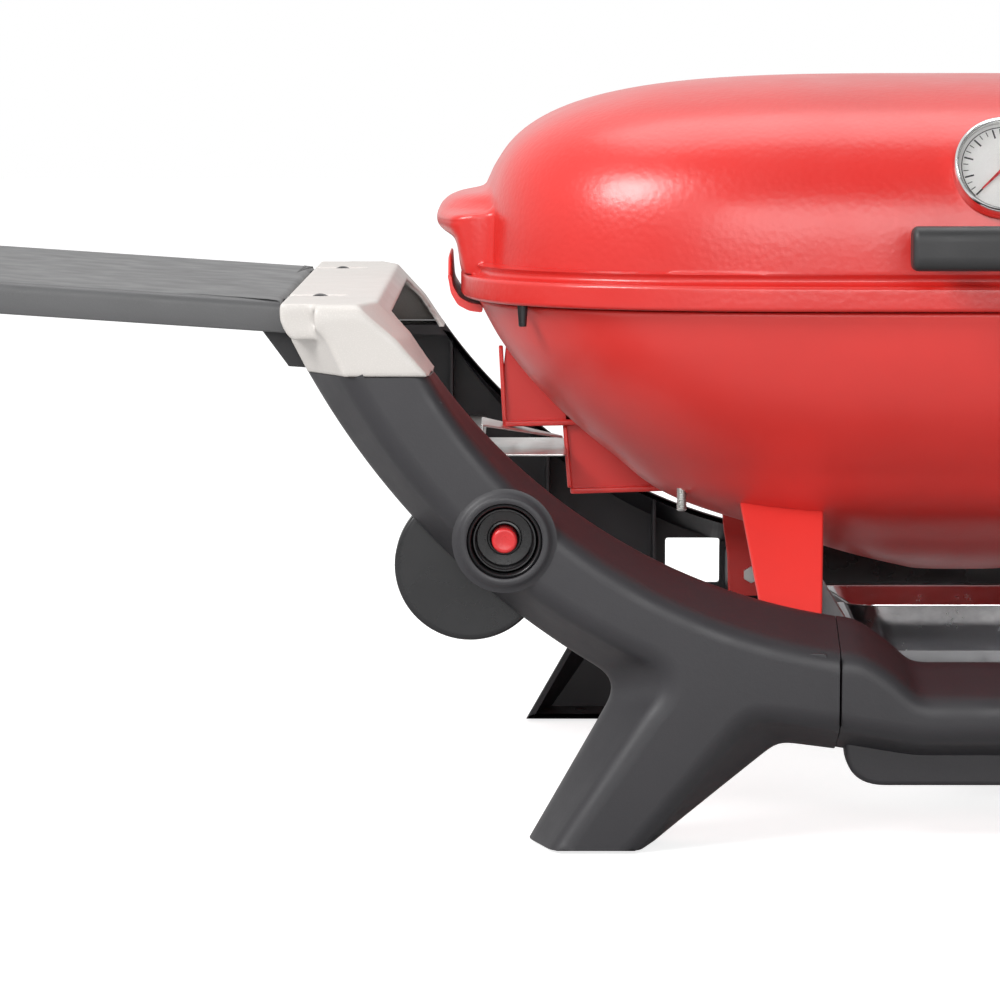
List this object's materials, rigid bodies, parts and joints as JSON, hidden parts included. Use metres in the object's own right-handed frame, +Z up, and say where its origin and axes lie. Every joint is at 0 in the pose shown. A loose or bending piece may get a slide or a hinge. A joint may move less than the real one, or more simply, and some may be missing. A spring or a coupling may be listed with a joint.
{
  "type": "portable gas barbecue grill",
  "caption": "Portable gas barbecue grill: red cast cook box and hinged domed lid in a moulded cradle frame, with fold-up side tables, igniter button, gas knob and drip tray.",
  "frame": {"origin": "on the ground under the middle of the grill", "axes": "+X to the cook's right along the tables, -Y towards the cook, +Z up"},
  "size_m": [1.3206, 0.51, 0.4248],
  "materials": {
    "frame_charcoal": "moulded charcoal plastic, fine satin grain, soft dust in the hollows",
    "yoke_cream": "warm off-white moulded plastic, fine satin grain",
    "table_grey": "mid-grey moulded plastic, softly brushed along its length",
    "lid_red": "red stoved enamel on a casting, fine orange-peel texture",
    "box_red": "red satin enamel on a casting, smooth, slightly browned near the burner",
    "zinc_steel": "folded galvanised sheet and zinc-plated fasteners",
    "tray_steel": "grey coated sheet steel",
    "grate_iron": "black enamelled cast iron",
    "burner_steel": "stainless tube, heat tinted",
    "foil": "thin crinkled foil, bright",
    "brass": "machined brass, slightly dulled",
    "black_plastic": "black moulded plastic, semi gloss",
    "handle_black": "black heat-resistant plastic, fine texture",
    "button_red": "glossy red plastic",
    "pointer_white": "white plastic inlay",
    "ceramic": "glazed white ceramic",
    "gauge_chrome": "polished chrome plate",
    "gauge_face": "white painted dial with plain tick marks",
    "gauge_glass": "clear flat glass",
    "pad_rubber": "black rubber"
  },
  "bodies": {
    "frame": {"front_arm_left": "frame_charcoal", "front_arm_right": "frame_charcoal", "rear_arm_left": "frame_charcoal", "rear_arm_right": "frame_charcoal", "front_rail": "frame_charcoal", "rear_rail": "frame_charcoal", "foot_pads": "pad_rubber", "frame_screws": "zinc_steel", "side_yoke_left": "yoke_cream", "side_yoke_right": "yoke_cream", "table_pins_left": "zinc_steel", "table_pins_right": "zinc_steel", "side_brace_left": "zinc_steel", "side_brace_right": "zinc_steel", "igniter_housing_disc": "black_plastic", "valve_housing_disc": "black_plastic", "igniter_bezel": "black_plastic", "igniter_module": "black_plastic", "igniter_spring": "zinc_steel", "knob_bezel": "black_plastic", "gas_valve": "brass", "gas_pipe": "zinc_steel", "gas_inlet": "brass", "cook_box": "box_red", "box_legs": "box_red", "box_fins": "box_red", "leg_bolts": "zinc_steel", "box_studs": "zinc_steel", "burner": "burner_steel", "electrode": "ceramic", "tray_hangers": "tray_steel", "hinge_brackets": "box_red", "hinge_pins": "zinc_steel"},
    "lid": {"lid": "lid_red", "lid_lugs": "lid_red", "lid_pegs": "black_plastic", "handle_posts": "handle_black", "lid_handle": "handle_black", "gauge_stem": "zinc_steel", "gauge_bezel": "gauge_chrome", "gauge_dial": "gauge_face", "gauge_glass": "gauge_glass"},
    "gauge_needle": {"gauge_needle": "button_red"},
    "table_left": {"table_left": "table_grey", "table_lugs_left": "frame_charcoal"},
    "table_right": {"table_right": "table_grey", "table_lugs_right": "frame_charcoal"},
    "igniter_button": {"igniter_button": "button_red"},
    "valve_stem": {"valve_stem": "brass"},
    "control_knob": {"control_knob": "handle_black", "knob_pointer": "pointer_white"},
    "tray_holder": {"tray_holder": "tray_steel", "tray_panel": "black_plastic"},
    "foil_tray": {"foil_tray": "foil"},
    "grate_left": {"grate_left": "grate_iron"},
    "grate_right": {"grate_right": "grate_iron"}
  },
  "joints": [
    {"name": "lid_hinge", "type": "hinge", "parent": "frame", "child": "lid", "pos_m": [0, 0.232, 0.288], "axis": [-1, 0, 0], "range_deg": [0, 88]},
    {"name": "table_left_fold", "type": "hinge", "parent": "frame", "child": "table_left", "pos_m": [-0.374, 0, 0.296], "axis": [0, 1, 0], "range_deg": [0, 125]},
    {"name": "table_right_fold", "type": "hinge", "parent": "frame", "child": "table_right", "pos_m": [0.374, 0, 0.296], "axis": [0, -1, 0], "range_deg": [0, 125]},
    {"name": "igniter_press", "type": "slide", "parent": "frame", "child": "igniter_button", "axis": [0, 1, 0], "range_m": [0, 0.004], "stiffness_N_per_m": 1500, "springref_m": -0.003, "deforming": ["igniter_spring"]},
    {"name": "knob_turn", "type": "hinge", "parent": "frame", "child": "valve_stem", "pos_m": [0.271, -0.2, 0.173], "axis": [0, -1, 0], "range_deg": [0, 200]},
    {"name": "knob_push", "type": "slide", "parent": "valve_stem", "child": "control_knob", "axis": [0, 1, 0], "range_m": [0, 0.003], "stiffness_N_per_m": 600, "springref_m": -0.002},
    {"name": "tray_slide", "type": "slide", "parent": "frame", "child": "tray_holder", "axis": [0, 1, 0], "range_m": [0, 0.2]},
    {"name": "foil_lift", "type": "slide", "parent": "tray_holder", "child": "foil_tray", "axis": [0, 0, 1], "range_m": [0, 0.025]},
    {"name": "grate_left_lift", "type": "slide", "parent": "frame", "child": "grate_left", "axis": [0, 0, 1], "range_m": [0, 0.045]},
    {"name": "grate_right_lift", "type": "slide", "parent": "frame", "child": "grate_right", "axis": [0, 0, 1], "range_m": [0, 0.045]},
    {"name": "gauge_needle_turn", "type": "hinge", "parent": "lid", "child": "gauge_needle", "pos_m": [0, -0.202, 0.372], "axis": [0, 0.9135, -0.4067], "range_deg": [0, 270], "stiffness_Nm_per_rad": 0.0005}
  ]
}
